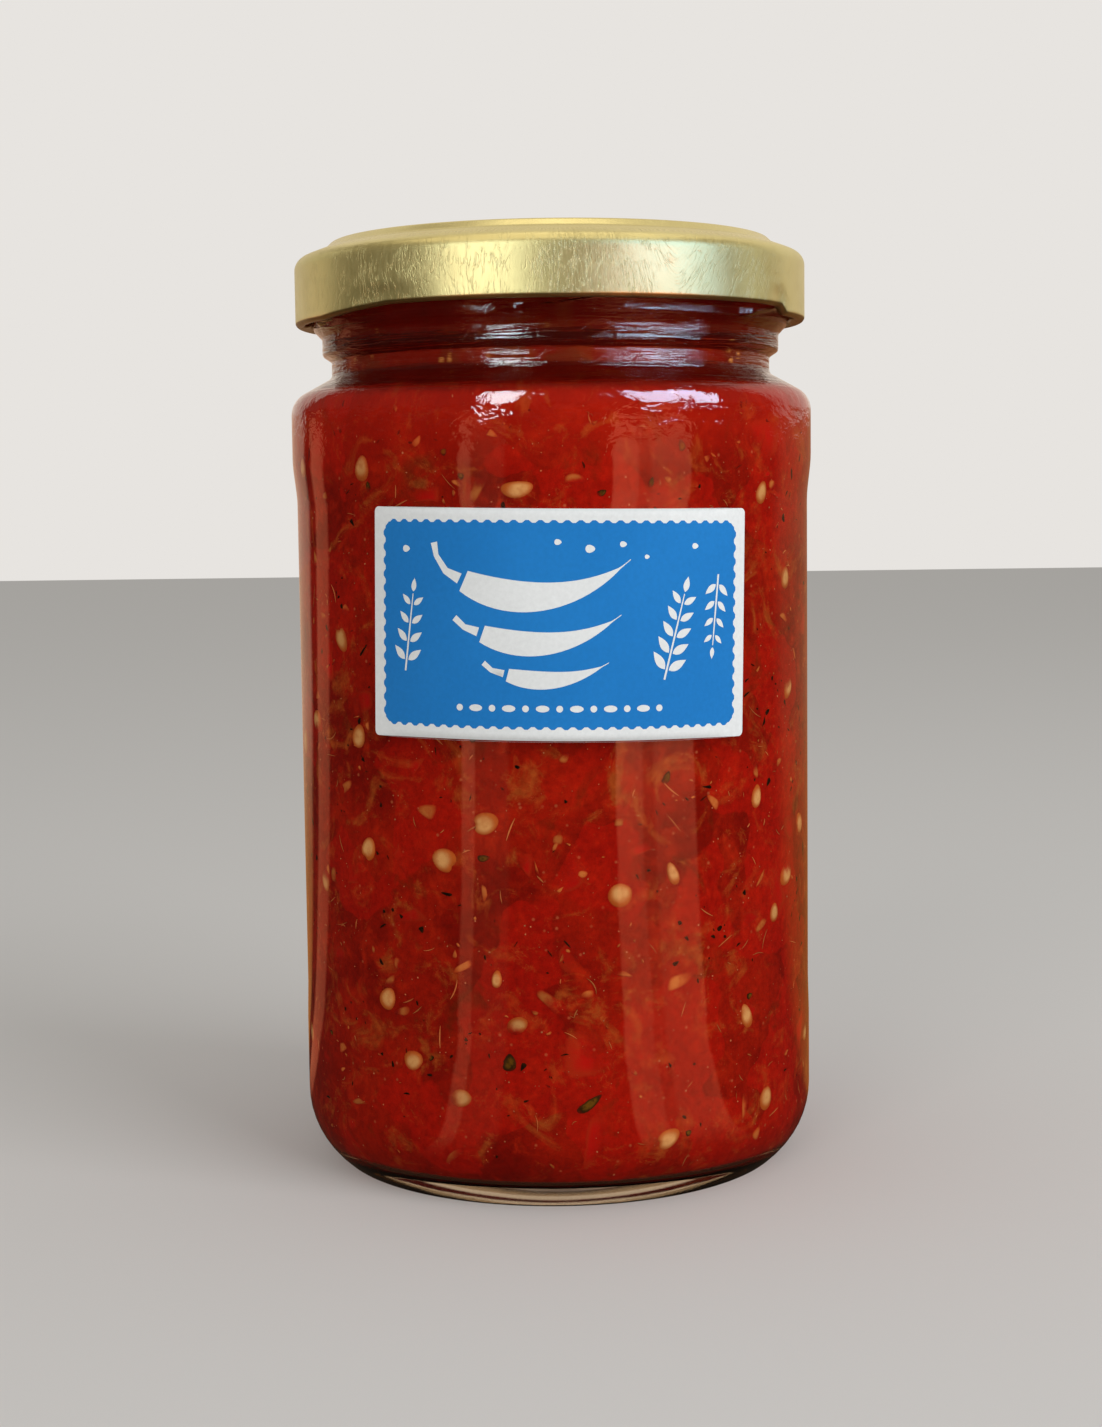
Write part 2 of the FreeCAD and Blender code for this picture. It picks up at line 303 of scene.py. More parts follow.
def coated(colour, relief, depth=0.0002, rough=0.35, level=0.02):
    """A surface with its relief, depth in metres, and how strongly it shines."""
    base = {"Base Color": colour, "Roughness": rough, "Specular IOR Level": level}
    return node("BsdfPrincipled", {**base, "Normal": bumps(depth, relief)}).outputs[0]


# ---------------------------------------------------------------- glass

CAVITY = [
    (0, INSIDE_FLOOR),
    (INNER, INSIDE_CORNER, 8.0),
    (INNER, INSIDE_SHOULDER, 4.0),
    (BORE, INSIDE_NECK, 3.0),
]
OUTSIDE = [
    (BORE, TOP, 1.4),
    (FINISH, TOP, 2.5),
    (FINISH, TOP - 12.5, 1.2),
    (BEAD, TOP - 14.0, 0.9),
    (BEAD, TOP - 16.7, 0.6),
    (GROOVE, TOP - 17.7, 0.6),
    (GROOVE, TOP - 20.45, 1.2),
    (BAND, TOP - 24.2, 4.0),
    (BAND, TOP - 34.8, 20.0),
    (PANEL, PANEL_TOP, 20.0),
    (PANEL, 30.0, 20.0),
    (FOOT_BAND, 24.0, 20.0),
    (FOOT_BAND, 4.8, 14.3),
    (FOOT_BAND - 5.85, 0, 1.6),
    (FOOT_BAND - 9.45, 0, 1.6),
    (FOOT_BAND - 12.2, 1.4, 1.6),
    (0, 2.6),
]
# the raised starts
START_FOOT = TOP - 12.7
START_PITCH = 39.0
START_PROUD = 1.05
STARTS = 6


def starts(angles, radius, height):
    """The six raised starts that climb round the finish."""
    out = np.zeros_like(angles)
    if radius < FINISH - 1.6 or height > TOP - 2 or height < TOP - 14:
        return out, 0.0
    for k in range(STARTS):
        along = (angles + 12.0 - 360.0 / STARTS * k) % 360.0
        rise = height - (START_FOOT + START_PITCH * along / 360.0)
        shape = ease(rise, -0.25, 0.2) * (1 - ease(rise, 0.75, 1.75))
        ends = ease(along, 0.0, 4.0) * (1 - ease(along, 46.0, 50.0))
        out = np.maximum(out, START_PROUD * shape * ends)
    return out, 0.0


def glass_material():
    material = new_material("clear_glass")
    around, _, _, height = round_place(object_place(), 0.04)
    neck = step_up(height, 0.1275, 0.1300)
    shoulder = step_up(height, 0.1150, 0.1245)

    def waves(across, up, *settings):
        return fuzz(stretched(around, across, 1.0, up), *settings)

    broad = waves(1.0, 0.35, 70.0, 2.0, 0.5)
    ripple = waves(0.34, 1.5, 620.0, 3.0, 0.62, 0.8)
    streak = waves(0.10, 2.6, 700.0, 2.0, 0.5, 0.5)
    chips = waves(0.8, 1.2, 380.0, 3.0, 0.62, 0.4)
    fine = times(plus(times(ripple, 1.1), times(streak, 1.9)), neck)
    share = times(shoulder, calc("SUBTRACT", 0.80, times(neck, 0.55)))
    tall = plus(plus(times(broad, 0.42), fine), times(chips, share))
    clear_gloss = {"Color": (0.985, 0.985, 0.965, 1), "Roughness": 0.0, "IOR": 1.5}
    glass = node("BsdfGlass", {**clear_gloss, "Normal": bumps(0.00022, tall)})
    clear = node("BsdfTransparent", {"Color": (0.97, 0.98, 0.97, 1)})
    # lamps and soft light pass through
    path = node("LightPath")
    through = calc("MAXIMUM", path.outputs["Is Shadow Ray"], path.outputs["Is Diffuse Ray"])
    output(mixed(through, glass.outputs[0], clear.outputs[0]))
    return material


def make_glass():
    def finish(a, b):
        return min(a[1], b[1]) > TOP - 14.5 and min(a[0], b[0]) > FINISH - 1.6

    outline = graded(rounded(CAVITY + OUTSIDE, 7.0), 0.3, finish)
    glass = revolve("jar_body", outline[::-1], 288, starts)
    return finish_piece(glass, glass_material(), "clear_glass", "jar_glass")


# ---------------------------------------------------------------- adjika

FILLING = [
    (0, INSIDE_FLOOR - SINK),
    (INNER + SINK, INSIDE_CORNER - SINK, 8.0),
    (INNER + SINK, INSIDE_SHOULDER + SINK, 4.0),
    (BORE + SINK, INSIDE_NECK + SINK, 3.0),
    (BORE + SINK, LEVEL, 1.0),
    (0, LEVEL),
]
WALL = spaced(rounded(FILLING, 6.0), 1.0)


def wall_radius(height):
    """The filling's radius at a height."""
    side = WALL[(WALL[:, 0] > BORE - 1) & (WALL[:, 1] < LEVEL - 0.5)]
    order = np.argsort(side[:, 1], kind="stable")
    return float(np.interp(height, side[order, 1], side[order, 0]))


def on_wall(angle, height, lift):
    """A point on the filling's side, lifted into the glass; angle in degrees, the rest in mm."""
    radius = wall_radius(height) + lift
    turn = math.radians(angle)
    return (radius * math.sin(turn) * MM, -radius * math.cos(turn) * MM, height * MM)


def grains(place, scale, low, high):
    """Round dots scattered through the pulp, and a random colour for each."""
    cells = {"Vector": place, "Scale": scale, "Randomness": 1.0}
    spots = node("TexVoronoi", cells, feature="F1")
    dot = step_down(spots.outputs["Distance"], low, high)
    return dot, node("SeparateColor", {0: spots.outputs["Color"]}).outputs


def sauce(place):
    """The colour of the pulp, mottled as chopped pepper in its juice, and a height for its relief."""
    bent = fuzz(place, 130.0, 2.0)
    warp = node("VectorMath", {0: place, 1: times(bent, 0.009)}, operation="ADD").outputs[0]
    broad = fuzz(place, 62.0, 3.0, 0.55, 0.6)
    middle = fuzz(shifted(place, 0.31, 0.0, 0.0), 170.0, 4.0, 0.6, 0.9)
    fine = fuzz(place, 850.0, 4.0, 0.68)
    haze = fuzz(shifted(place, 0.0, 0.47, 0.0), 115.0, 5.0, 0.62, 1.6)
    murk = fuzz(shifted(place, 0.0, 0.0, 0.83), 100.0, 4.0, 0.6, 0.9)
    dark, red = (0.195, 0.0036, 0.0010), (0.315, 0.0075, 0.0016)
    colour = blend_colour(step_up(broad, 0.34, 0.66), dark, red)

    def laid(amount, strength, over):
        return blend_colour(times(amount, strength), colour, over)

    # bright flesh, then orange haze
    colour = laid(step_up(middle, 0.48, 0.74), 0.8, (0.415, 0.015, 0.0028))
    colour = laid(step_up(haze, 0.52, 0.72), 0.75, (0.39, 0.072, 0.011))
    # flakes of skin, with one soft colour over each
    cells = {"Vector": warp, "Scale": 74.0, "Randomness": 1.0}
    flake = node("TexVoronoi", cells, feature="SMOOTH_F1")
    flake.inputs["Smoothness"].default_value = 0.25
    pick = node("SeparateColor", {0: flake.outputs["Color"]})
    colour = laid(step_up(pick.outputs[0], 0.66, 0.78), 0.5, (0.44, 0.0060, 0.0020))
    # murky places
    colour = laid(step_up(murk, 0.58, 0.76), 0.6, (0.095, 0.016, 0.0025))
    # curved threads of flesh
    curl = fuzz(shifted(place, 0.19, 0.11, 0.0), 260.0, 3.0, 0.55, 1.8)
    near = calc("ABSOLUTE", calc("SUBTRACT", curl, 0.5))
    thread = times(step_down(near, 0.001, 0.010), step_up(haze, 0.47, 0.58))
    colour = laid(thread, 0.32, (0.48, 0.10, 0.020))
    # pale grains
    dot, which = grains(place, 560.0, 0.06, 0.20)
    colour = laid(times(dot, step_up(which[0], 0.78, 0.88)), 0.5, (0.52, 0.12, 0.045))
    shade = spread(fine, (0.25, 0.75), (0.72, 1.28))
    relief = plus(times(middle, 0.6), times(fine, 0.4))
    return scaled(colour, shade), relief


# Painted light and shade on the pulp behind the neck: where it is painted lighter or darker, from and to in
# metres up, and by how much.
PAINTED_NECK_LIGHT = 0.19
PAINTED_NECK_STEPS = ((0.1315, 0.1327, 0.34), (0.1346, 0.1354, -0.41), (0.1364, 0.1374, 0.24))


def paint_neck_light_and_shade(colour, height):
    """Painted glow on the pulp beneath the shoulder, and painted shade in the neck, most of all at the bead
    and the flare.
    """
    high = step_up(height, 0.1264, 0.1280)
    # painted glow: beneath the shoulder the pulp is painted lighter and redder
    glow = times(step_up(height, 0.1130, 0.1235), 0.40)
    colour = blend_colour(glow, colour, (0.56, 0.013, 0.004))
    # painted shade: above the shoulder the pulp's colour is multiplied darker, in painted lighter and
    # darker bands
    light = PAINTED_NECK_LIGHT
    for low, top, change in PAINTED_NECK_STEPS:
        light = plus(light, times(step_up(height, low, top), change))
    painted_shade_tint = scaled((1.0, 0.95, 0.9), light)
    dark = blend_colour(1.0, colour, painted_shade_tint, "MULTIPLY")
    return blend_colour(high, colour, dark)


def pulp_material():
    material = new_material("adjika_pulp")
    place = object_place()
    height = node("SeparateXYZ", {0: place}).outputs[2]
    colour, relief = sauce(place)
    # painted glow beneath the shoulder and painted shade in the neck
    colour = paint_neck_light_and_shade(colour, height)
    # painted light: a brownish glow, with painted amber glinting specks, where light gets behind the glass
    # of the neck
    dot, which = grains(stretched(place, 0.7, 0.7, 1.1), 620.0, 0.10, 0.34)
    amount = times(dot, step_up(which[1], 0.50, 0.65))
    zone = step_up(fuzz(place, 160.0, 2.0), 0.42, 0.56)
    ring = times(step_up(height, 0.1315, 0.1327), step_down(height, 0.1346, 0.1354))
    ring = plus(ring, times(step_up(height, 0.1366, 0.1376), 0.35))
    ring = times(ring, step_down(height, 0.1384, 0.1396))
    painted_brown_light = times(ring, plus(0.10, times(zone, 0.40)))
    painted_glints = times(times(amount, zone), ring)
    colour = blend_colour(painted_brown_light, colour, (0.115, 0.026, 0.007))
    colour = blend_colour(painted_glints, colour, (0.72, 0.26, 0.055))
    # the flat bottom lies wet against the glass, which mirrors whatever comes along it
    low = step_down(height, 0.0048, 0.0058)
    along = step_up(node("LayerWeight").outputs["Facing"], 0.45, 0.60)
    mirror = node("BsdfGlossy", {"Color": (0.56, 0.47, 0.36, 1), "Roughness": 0.05})
    pulp = coated(colour, relief)
    output(mixed(times(low, along), pulp, mirror.outputs[0]))
    return material


def bit_material(name, inner, outer, mottle, amount, rough=0.35, level=0.04):
    """A piece in the pulp. Its mark holds rim, sunk share and shade; sunk, it takes the pulp's colour."""
    material = new_material(name)
    place = object_place()
    height = node("SeparateXYZ", {0: place}).outputs[2]
    base, _ = sauce(place)
    mark = node("Attribute", attribute_name="mark").outputs["Color"]
    rim, sunk, shade = node("SeparateColor", {0: mark}).outputs
    spot = node("Attribute", attribute_name="spot").outputs["Vector"]
    spots = fuzz(place, mottle, 3.0, 0.6)
    side = node("VectorMath", {0: spot, 1: (-0.34, 0.0, 0.0)}, operation="DISTANCE").outputs["Value"]
    own = blend_colour(step_up(side, 0.42, 1.15), inner, outer)
    own = blend_colour(times(step_up(rim, 0.45, 1.0), 0.9), own, outer)
    own = blend_colour(times(step_up(spots, 0.42, 0.70), amount), own, outer)
    own = scaled(own, spread(shade, (0.0, 1.0), (0.66, 1.16)))
    ragged = plus(sunk, times(calc("SUBTRACT", spots, 0.5), 0.6))
    colour = blend_colour(step_up(ragged, 0.10, 0.90), own, base)
    # the pieces take the same painted glow and painted shade by height as the pulp
    colour = paint_neck_light_and_shade(colour, height)
    output(coated(colour, spots, 0.0001, rough, level))
    return material


class Bits:
    """Collects many small shapes that lie against the glass, and joins them as one mesh."""

    def __init__(self, name, soft=0.55):
        self.name, self.soft = name, soft
        self.verts, self.faces, self.marks, self.spots = [], [], [], []

    def disc(
        self, angle, height, outline, thick, turn, rings,
        buried=0.0, side=0.0, shade=0.5, lift=0.03, dish=0.0,
    ):
        """A flat shape with a domed face; buried and side say how it sinks into the pulp."""
        count = len(outline)
        base = len(self.verts)
        radius = wall_radius(height)
        cos, sin = math.cos(turn), math.sin(turn)
        lit, dim = math.cos(side * 3.0), math.sin(side * 3.0)
        biggest = max(math.hypot(*p) for p in outline)

        def put(x, y, share):
            across, up = x * cos - y * sin, x * sin + y * cos
            body = (1 - share**4) * thick - dish * thick * (1 - share * share)
            self.verts.append(on_wall(angle + math.degrees(across / radius), height + up, lift + body))
            lean = (x * math.cos(side) + y * math.sin(side)) / biggest
            sunk = min(1.0, max(0.0, buried * 1.4 - 0.35 + 0.9 * lean * buried * 2))
            self.marks.append((share, max(sunk, share**6 * self.soft), shade, 1.0))
            self.spots.append(((x * lit - y * dim) / biggest, (x * dim + y * lit) / biggest, 0.0))

        put(0.0, 0.0, 0.0)
        for r in range(1, rings + 1):
            share = r / rings
            for x, y in outline:
                put(x * share, y * share, share)
        for k in range(count):
            n = (k + 1) % count
            self.faces.append((base, base + 1 + k, base + 1 + n))
            for r in range(rings - 1):
                low, high = base + 1 + r * count, base + 1 + (r + 1) * count
                self.faces.append((low + k, high + k, high + n, low + n))

    def thread(self, angle, height, length, width, turn, bend, shade, lift=0.05):
        steps = 7
        radius = wall_radius(height)
        base = len(self.verts)
        x = y = 0.0
        heading = turn
        for k in range(steps + 1):
            share = k / steps
            half = width / 2 * max(0.15, math.sin(math.pi * (0.08 + 0.84 * share)))
            nx, ny = -math.sin(heading), math.cos(heading)
            for side, up in ((-1, 0.0), (0, 0.07), (1, 0.0)):
                px, py = x + nx * half * side, y + ny * half * side
                self.verts.append(on_wall(angle + math.degrees(px / radius), height + py, lift + up))
                self.marks.append((abs(side), 0.1 if side == 0 else 0.35, shade, 1.0))
                self.spots.append((side * 0.5, 0.0, 0.0))
            x += math.cos(heading) * length / steps
            y += math.sin(heading) * length / steps
            heading += bend / steps
        for k in range(steps):
            for j in (0, 1):
                a = base + k * 3 + j
                self.faces.append((a, a + 3, a + 4, a + 1))

    def make(self, material):
        obj = mesh_object(self.name, self.verts, self.faces)
        layer = obj.data.color_attributes.new("mark", "FLOAT_COLOR", "POINT")
        layer.data.foreach_set("color", np.array(self.marks, np.float32).ravel())
        place = obj.data.attributes.new("spot", "FLOAT_VECTOR", "POINT")
        place.data.foreach_set("vector", np.array(self.spots, np.float32).ravel())
        return finish_piece(obj, material, "adjika", "adjika")


def free_spot(low, high):
    return RNG.uniform(-180, 180), RNG.uniform(low, high)


def clump(angle, height, size, seed):
    """A slow random value from 0 to 1 over the wall, which gathers small bits in clumps."""
    turn = math.radians(angle)
    at = Vector((math.sin(turn) * 40, math.cos(turn) * 40, height)) / size
    return 0.5 + 0.5 * noise.noise(at + Vector((seed, 0, 0)))


def clumped(count, low, high, size, seed, least, most):
    """Spots gathered in clumps: none where the clump is under least, and all where it is over most."""
    while count:
        angle, height = free_spot(low, high)
        if clump(angle, height, size, seed) >= RNG.uniform(least, most):
            count -= 1
            yield angle, height


def egg(length, width, count=22, tip=0.12, notch=0.0, at=0.0, bow=0.0):
    points = []
    for k in range(count):
        t = math.tau * k / count
        dent = 1 - notch * math.exp(-((math.remainder(t - at, math.tau) / 0.33) ** 2))
        x = length / 2 * math.cos(t) * dent
        y = width / 2 * math.sin(t) * (1 - tip * math.cos(t) * 1.3) * dent
        points.append((x, y + bow * (x / length) ** 2 * width))
    return points


def shard(size, count, corners, rough, stretch):
    """An uneven flat piece with some straight sides and blunt corners."""
    knots = sorted(RNG.uniform(0, math.tau) for _ in range(corners))
    reach = [RNG.uniform(0.62, 1.0) for _ in knots]
    rim = [(size / 2 * r * math.cos(t) * stretch, size / 2 * r * math.sin(t)) for t, r in zip(knots, reach)]
    points = []
    for k in range(count):
        share = k / count * corners
        i, f = int(share) % corners, share % 1
        a, b = rim[i], rim[(i + 1) % corners]
        wob = 1 + rough * (RNG.random() - 0.5)
        points.append(((a[0] + (b[0] - a[0]) * f) * wob, (a[1] + (b[1] - a[1]) * f) * wob))
    cx = sum(p[0] for p in points) / count
    cy = sum(p[1] for p in points) / count
    points = sorted(((x - cx, y - cy) for x, y in points), key=lambda p: math.atan2(p[1], p[0]))
    for _ in range(2):
        before, after = points[-1:] + points[:-1], points[1:] + points[:1]
        points = [
            ((a[0] + 2 * b[0] + c[0]) / 4, (a[1] + 2 * b[1] + c[1]) / 4)
            for a, b, c in zip(before, points, after)
        ]
    return points


# Seeds that show on the front: angle, height, length, width, turn, how far sunk, shade, kind.
FRONT_SEEDS = [
    (-45.4, 116.3, 4.0, 3.0, 80, 0.25, 0.55, "egg"),
    (-7.5, 112.6, 4.9, 2.6, 5, 0.05, 0.95, "kidney"),
    (52.4, 111.8, 3.9, 2.6, 70, 0.1, 0.7, "egg"),
    (-48.6, 74.0, 3.9, 3.0, 75, 0.1, 0.75, "egg"),
    (50.1, 63.5, 3.8, 2.4, 80, 0.0, 0.9, "egg"),
    (-15.4, 61.5, 4.2, 3.4, 20, 0.1, 0.8, "notch"),
    (-46.0, 56.1, 3.9, 3.1, 70, 0.0, 0.95, "notch"),
    (-25.1, 55.5, 4.2, 3.7, 160, 0.15, 0.85, "notch"),
    (13.6, 50.1, 3.9, 3.7, 40, 0.1, 0.8, "round"),
    (-40.8, 32.5, 3.8, 3.2, 60, 0.05, 0.95, "egg"),
    (46.2, 28.4, 4.3, 2.4, 110, 0.0, 0.85, "egg"),
    (-33.7, 23.2, 3.6, 3.1, 20, 0.15, 0.8, "egg"),
    (53.0, 13.9, 3.9, 3.2, 75, 0.15, 0.7, "round"),
    (24.3, 11.0, 4.1, 2.9, 30, 0.1, 0.9, "notch"),
    (25.8, 52.9, 3.8, 1.9, 110, 0.0, 0.75, "egg"),
    (-13.4, 37.2, 2.8, 1.6, 85, 0.2, 0.95, "egg"),
    (63.0, 98.0, 3.7, 2.8, 80, 0.3, 0.5, "egg"),
    (-22.0, 18.0, 3.6, 2.8, 10, 0.4, 0.35, "round"),
    (57.0, 44.0, 3.2, 2.4, 80, 0.2, 0.6, "egg"),
    (-9.0, 30.0, 3.4, 2.6, 30, 0.45, 0.4, "round"),
]


def add_seed(bits, angle, height, length, width, turn, sunk, shade, kind):
    shapes = {
        "egg": dict(tip=0.14),
        "round": dict(tip=0.05, notch=0.06, at=0.4),
        "notch": dict(tip=0.1, notch=0.24, at=2.9),
        "kidney": dict(tip=0.05, bow=0.55),
    }
    outline = egg(length, width, **shapes[kind])
    bits.disc(
        angle, height, outline, RNG.uniform(0.35, 0.55), math.radians(turn), 6, sunk,
        RNG.uniform(0, math.tau), shade, lift=0.02, dish=0.35 if kind in ("round", "notch") else 0.15,
    )


def make_seeds():
    bits = Bits("pepper_seeds", 0.5)
    for entry in FRONT_SEEDS:
        add_seed(bits, *entry)
    placed = [(s[0], s[1]) for s in FRONT_SEEDS]
    tries = 0
    while len(placed) < SEEDS and tries < 4000:
        tries += 1
        angle, height = free_spot(9.0, 124.0)
        front = abs(angle) < 62
        if front and (tries % 5 or abs(angle) < 40):
            continue
        if any(math.hypot(math.remainder(angle - a, 360) * 0.7, height - h) < 6.5 for a, h in placed):
            continue
        placed.append((angle, height))
        kind = RNG.choice(["egg", "egg", "round", "notch", "kidney"])
        long = RNG.uniform(3.2, 4.5)
        wide = long * RNG.uniform(0.62, 0.9)
        turn, sunk = RNG.uniform(0, 360), RNG.choice([0.0, 0.1, 0.2, 0.45])
        add_seed(bits, angle, height, long, wide, turn, sunk, RNG.uniform(0.3, 1.0), kind)
    bits.make(bit_material("pepper_seed", (0.66, 0.31, 0.105), (0.44, 0.085, 0.012), 700.0, 0.4))


def make_skins():
    bits = Bits("pepper_skins", 0.8)
    for _ in range(SKINS):
        angle, height = free_spot(10.0, 123.0)
        size = RNG.uniform(4.0, 11.0)
        outline = shard(size, 26, RNG.choice([5, 6, 7]), 0.10, RNG.uniform(0.8, 1.5))
        turn, sunk, side = RNG.uniform(0, math.tau), RNG.uniform(0.45, 0.8), RNG.uniform(0, math.tau)
        bits.disc(angle, height, outline, 0.06, turn, 5, sunk, side, RNG.uniform(0.2, 0.8), lift=0.015)
    bits.make(bit_material("pepper_skin", (0.50, 0.0055, 0.003), (0.38, 0.020, 0.004), 300.0, 0.5, 0.25))


def make_flecks():
    bits = Bits("pulp_flecks", 0.8)
    for angle, height in clumped(FLECKS, 7.0, 126.0, 16.0, 3.0, 0.30, 0.75):
        size = RNG.choice([0.8, 1.0, 1.3, 1.8, 2.6, 3.4]) * RNG.uniform(0.8, 1.2)
        outline = shard(size, 16, RNG.choice([4, 5, 6]), 0.2, RNG.uniform(0.9, 1.9))
        turn, sunk, side = RNG.uniform(0, math.tau), RNG.uniform(0.15, 0.7), RNG.uniform(0, math.tau)
        bits.disc(angle, height, outline, 0.12, turn, 4, sunk, side, RNG.uniform(0.1, 1.0))
    bits.make(bit_material("pepper_flesh", (0.53, 0.135, 0.028), (0.42, 0.048, 0.008), 500.0, 0.6))


def make_dots():
    bits = Bits("pulp_grains")
    for _ in range(GRAINS):
        angle, height = free_spot(6.0, 127.0)
        size = RNG.choice([0.15, 0.18, 0.23, 0.3, 0.4]) * RNG.uniform(0.8, 1.2)
        outline = egg(size, size * RNG.uniform(0.5, 1.0), 6)
        bits.disc(angle, height, outline, 0.08, RNG.uniform(0, 3), 1, shade=RNG.random(), lift=0.04)
    bits.make(bit_material("pale_grain", (0.58, 0.19, 0.085), (0.46, 0.07, 0.02), 900.0, 0.2))


def make_threads():
    bits = Bits("pulp_threads")
    for count, (angle, height) in enumerate(clumped(THREADS, 8.0, 125.0, 12.0, 9.0, 0.3, 0.7), 1):
        bend = RNG.uniform(-0.7, 0.7) if count % 4 else RNG.uniform(-2.0, 2.0)
        long = RNG.choice([0.8, 1.1, 1.5, 2.1, 3.2]) * RNG.uniform(0.8, 1.2)
        wide, turn = RNG.uniform(0.10, 0.30), RNG.uniform(0, math.tau)
        bits.thread(angle, height, long, wide, turn, bend, RNG.random())
    bits.make(bit_material("flesh_thread", (0.58, 0.16, 0.045), (0.42, 0.05, 0.010), 700.0, 0.3))


def make_specks():
    bits = Bits("black_specks", 0.0)
    for angle, height in clumped(SPECKS, 8.0, 126.0, 9.0, 5.0, 0.34, 0.78):
        size = RNG.choice([0.55, 0.7, 0.85, 1.1, 1.5]) * RNG.uniform(0.8, 1.25)
        outline = shard(size, 12, 4, 0.3, RNG.uniform(0.9, 2.4))
        bits.disc(angle, height, outline, 0.08, RNG.uniform(0, 6), 2, shade=RNG.random(), lift=0.06)
    bits.make(bit_material("black_speck", (0.010, 0.004, 0.0015), (0.030, 0.008, 0.002), 900.0, 0.3))


def make_herbs():
    bits = Bits("herb_bits", 0.35)
    # angle, height, length, width, turn, how far sunk, shade; first those that show on the front
    spots = [
        (6.5, 17.5, 4.6, 1.5, 35, 0.0, 0.6),
        (-10.8, 24.1, 2.8, 2.1, 80, 0.2, 0.3),
        (28.6, 119.1, 1.9, 1.2, 100, 0.0, 0.3),
        (24.5, 68.0, 2.2, 1.2, 60, 0.3, 0.3),
        (10.5, 112.0, 1.5, 1.0, 20, 0.3, 0.3),
    ]
    for _ in range(HERBS):
        angle, height = free_spot(10.0, 124.0)
        long, wide = RNG.uniform(0.9, 2.2), RNG.uniform(0.6, 1.1)
        spots.append((angle, height, long, wide, RNG.uniform(0, 180), RNG.uniform(0.2, 0.6), RNG.random()))
    for angle, height, long, wide, turn, sunk, shade in spots:
        outline = egg(long, wide, 16, 0.3, 0.2, 2.0, 0.4)
        turn, side = math.radians(turn), RNG.uniform(0, 6)
        bits.disc(angle, height, outline, 0.15, turn, 3, sunk, side, shade, lift=0.04)
    bits.make(bit_material("herb", (0.150, 0.060, 0.004), (0.020, 0.008, 0.002), 900.0, 0.8))


def make_adjika():
    core = revolve("adjika_fill", WALL, 256)
    finish_piece(core, pulp_material(), "adjika", "adjika")
    make_seeds()
    make_skins()
    make_flecks()
    make_dots()
    make_threads()
    make_specks()
    make_herbs()


# ---------------------------------------------------------------- lid

SHEET = 0.4
CURL_IN = LID_R - 1.7
LUGS, LUG_AT, LUG_DEEP = 6, 27.0, 0.8  # how many, where the first one is, how far in
DRAWN_UP = (-59.0, 121.0)  # where the raised stretches of the skirt's foot begin
PRESSED = [
    (0, LID_TOP - 0.55),
    (11.6, LID_TOP - 0.55, 4.0),
    (14.0, LID_TOP - 0.9, 4.0),
    (BORE - 3.0, LID_TOP - 0.9, 0.9),
    (BORE - 1.6, LID_TOP, 0.9),
    (FINISH - 3.2, LID_TOP, 0.9),
    (FINISH - 2.0, LID_TOP - 1.15, 0.9),
    (LID_R, LID_TOP - 3.0, 2.2),
    (LID_R, LID_FOOT, 0.8),
    (CURL_IN, LID_FOOT, 0.8),
    (CURL_IN, LID_FOOT + 1.7, 0.8),
    (LID_R - SHEET - 0.3, LID_FOOT + 1.7),
    (LID_R - SHEET - 0.3, LID_FOOT + 1.3),
    (CURL_IN + SHEET, LID_FOOT + 1.3, 0.4),
    (CURL_IN + SHEET, LID_FOOT + SHEET, 0.4),
    (LID_R - SHEET, LID_FOOT + SHEET, 0.4),
    (LID_R - SHEET, LID_TOP - 3.4, 1.8),
    (FINISH - 1.6, TOP),
    (BORE - 2.2, TOP),
    (BORE - 2.6, LID_TOP - 1.3),
    (0, LID_TOP - 1.3),
]


def lugs(angles, radius, height):
    """The skirt's foot, drawn up over two long stretches and pinched at their ends, and the inward lugs."""
    low = 1 - ease(height, LID_FOOT + 1.0, LID_FOOT + 6.0)
    tight = 1 - ease(height, LID_FOOT + 0.6, LID_FOOT + 4.6)
    raised, pinch = np.zeros_like(angles), np.zeros_like(angles)
    for start in DRAWN_UP:
        along = (angles - start) % 360
        rise = np.clip(along / 22.0, 0, 1)
        raised = np.maximum(raised, rise * (1 - ease(along, 119.5, 122.5)))
        for middle, wide, deep in ((21.0, 8.0, 0.45), (118.0, 3.0, 0.30)):
            off = np.remainder(angles - start - middle + 180, 360) - 180
            pinch += deep * np.exp(-((off / wide) ** 2))
    up = low * (1.0 * raised - 0.35 * (1 - raised))
    out = -pinch * tight
    inner = (1 - ease(radius, CURL_IN, CURL_IN + 0.7)) * (height < LID_FOOT + 1.75)
    for k in range(LUGS):
        off = np.abs(np.remainder(angles - LUG_AT - 360.0 / LUGS * k + 180, 360) - 180)
        out = out - LUG_DEEP * inner * (1 - ease(off, 6.0, 8.0))
    return out, up


